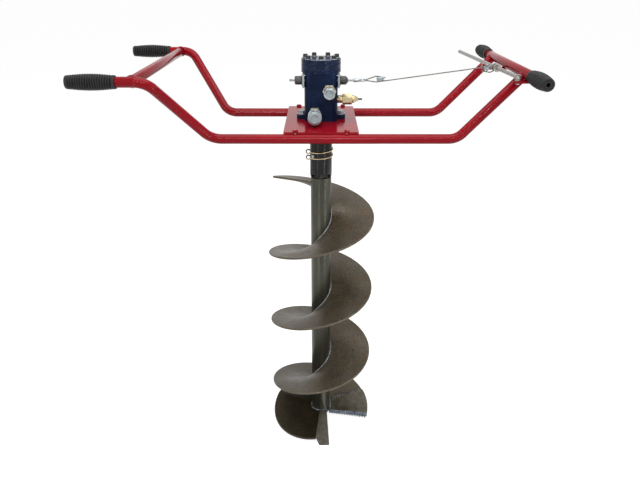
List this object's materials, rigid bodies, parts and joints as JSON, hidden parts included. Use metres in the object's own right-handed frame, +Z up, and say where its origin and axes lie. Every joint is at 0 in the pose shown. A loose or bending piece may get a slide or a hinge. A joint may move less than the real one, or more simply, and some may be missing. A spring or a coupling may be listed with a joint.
{
  "type": "earth auger",
  "caption": "Hand-held hydraulic earth auger: bent-tube frame with ribbed grips, orbit motor with spool valve and cable lever, and a detachable helical bit with cutters.",
  "frame": {"origin": "on the auger's axis, at the level of the lowest cutter point", "axes": "+Z up along the auger's axis, +X towards the handle with the lever, -Y towards the side with the hose couplers"},
  "size_m": [1.1203, 0.66, 1.2072],
  "materials": {
    "frame_red": "gloss red powder coat",
    "grip_rubber": "ribbed charcoal rubber",
    "motor_navy": "dark navy enamel on cast iron",
    "black_bolts": "black oxide steel",
    "zinc": "bright zinc plate",
    "yellow_zinc": "yellow chromated zinc",
    "ground_steel": "ground steel",
    "cable_steel": "stranded galvanised wire",
    "cap_grey": "dark grey moulded cap",
    "seal_rubber": "black seal rubber",
    "hub_black": "semi-gloss black enamel",
    "pipe_steel": "bare oiled steel tube",
    "flight_steel": "bare hot-rolled steel with light rust",
    "cutter_steel": "hard-faced steel"
  },
  "bodies": {
    "frame": {"front_frame_tube": "frame_red", "rear_frame_tube": "frame_red", "left_cross_tube": "frame_red", "right_cross_tube": "frame_red", "right_front_grip": "grip_rubber", "right_rear_grip": "grip_rubber", "left_front_grip": "grip_rubber", "left_rear_grip": "grip_rubber", "motor_plate": "frame_red", "plate_bolts": "frame_red", "lever_tab": "frame_red", "lever_guide": "frame_red", "lever_pivot_bolt": "zinc", "motor_housing": "motor_navy", "wear_plate": "motor_navy", "rotor_ring": "motor_navy", "ring_rollers": "ground_steel", "end_cover": "motor_navy", "cover_bolts": "black_bolts", "flange_bolts": "zinc", "shaft_bearing": "ground_steel", "shaft_seal": "seal_rubber", "housing_plugs": "motor_navy", "end_plates": "zinc", "end_plate_screws": "zinc", "spring_cap": "cap_grey", "cable_boot": "cap_grey", "spool_spring": "ground_steel", "relief_body": "yellow_zinc", "relief_cap": "yellow_zinc", "relief_spring": "ground_steel", "port_adapters": "yellow_zinc", "socket_coupler": "zinc", "plug_coupler": "zinc", "sleeve_spring": "ground_steel", "poppet_springs": "ground_steel"},
    "bit": {"output_shaft": "ground_steel", "hub_bolt": "zinc", "auger_hub": "hub_black", "lock_ring": "zinc", "auger_pipe": "pipe_steel", "main_flight": "flight_steel", "lower_flight": "flight_steel", "cutter_blades": "cutter_steel"},
    "lock_pin": {"lock_pin": "zinc"},
    "drive_link": {"drive_link": "ground_steel"},
    "rotor_star": {"rotor_star": "ground_steel"},
    "lever": {"throttle_lever": "zinc"},
    "spool": {"spool": "ground_steel", "spool_eye": "zinc", "throttle_cable": "cable_steel", "cable_ferrule": "zinc", "clip_saddle": "zinc", "clip_u_bolt": "zinc", "clip_nuts": "zinc"},
    "sleeve": {"coupler_sleeve": "zinc"},
    "socket_poppet": {"socket_poppet": "zinc"},
    "plug_poppet": {"plug_poppet": "zinc"},
    "relief_poppet": {"relief_poppet": "ground_steel"},
    "relief_screw": {"relief_screw": "black_bolts"}
  },
  "joints": [
    {"name": "auger_spin", "type": "hinge", "parent": "frame", "child": "bit", "pos_m": [0, 0, 1.021], "axis": [0, 0, 1], "continuous": true},
    {"name": "pin_pull", "type": "slide", "parent": "bit", "child": "lock_pin", "axis": [-0.6691, -0.7431, 0], "range_m": [0, 0.06]},
    {"name": "link_orbit", "type": "hinge", "parent": "bit", "child": "drive_link", "pos_m": [0, 0, 1.121], "axis": [0, 0, 1], "continuous": true},
    {"name": "star_spin", "type": "hinge", "parent": "drive_link", "child": "rotor_star", "pos_m": [0.00121, -0.00252, 1.1832], "axis": [0, 0, 1], "continuous": true},
    {"name": "lever_pull", "type": "hinge", "parent": "frame", "child": "lever", "pos_m": [0.4823, -0.194, 1.1769], "axis": [0, 0, -1], "range_deg": [0, 3.04], "stiffness_Nm_per_rad": 200},
    {"name": "spool_slide", "type": "slide", "parent": "frame", "child": "spool", "axis": [1, 0, 0], "range_m": [0, 0.0086], "deforming": ["spool_spring"]},
    {"name": "sleeve_slide", "type": "slide", "parent": "frame", "child": "sleeve", "axis": [0, 1, 0], "range_m": [0, 0.006], "stiffness_N_per_m": 1500, "deforming": ["sleeve_spring"]},
    {"name": "socket_poppet_push", "type": "slide", "parent": "frame", "child": "socket_poppet", "axis": [0, 1, 0], "range_m": [0, 0.005], "stiffness_N_per_m": 1500, "deforming": ["poppet_springs"]},
    {"name": "plug_poppet_push", "type": "slide", "parent": "frame", "child": "plug_poppet", "axis": [0, 1, 0], "range_m": [0, 0.005], "stiffness_N_per_m": 1500, "deforming": ["poppet_springs"]},
    {"name": "relief_lift", "type": "slide", "parent": "frame", "child": "relief_poppet", "axis": [1, 0, 0], "range_m": [0, 0.003], "stiffness_N_per_m": 5000, "deforming": ["relief_spring"]},
    {"name": "relief_adjust", "type": "hinge", "parent": "frame", "child": "relief_screw", "pos_m": [0.1, -0.03, 1.0922], "axis": [1, 0, 0], "range_deg": [-180, 180]}
  ],
  "couplings": [
    {"joint": "link_orbit", "follows": "auger_spin", "ratio": -7},
    {"joint": "star_spin", "follows": "auger_spin", "ratio": 7},
    {"joint": "spool_slide", "follows": "lever_pull", "m_per_rad": 0.162}
  ]
}
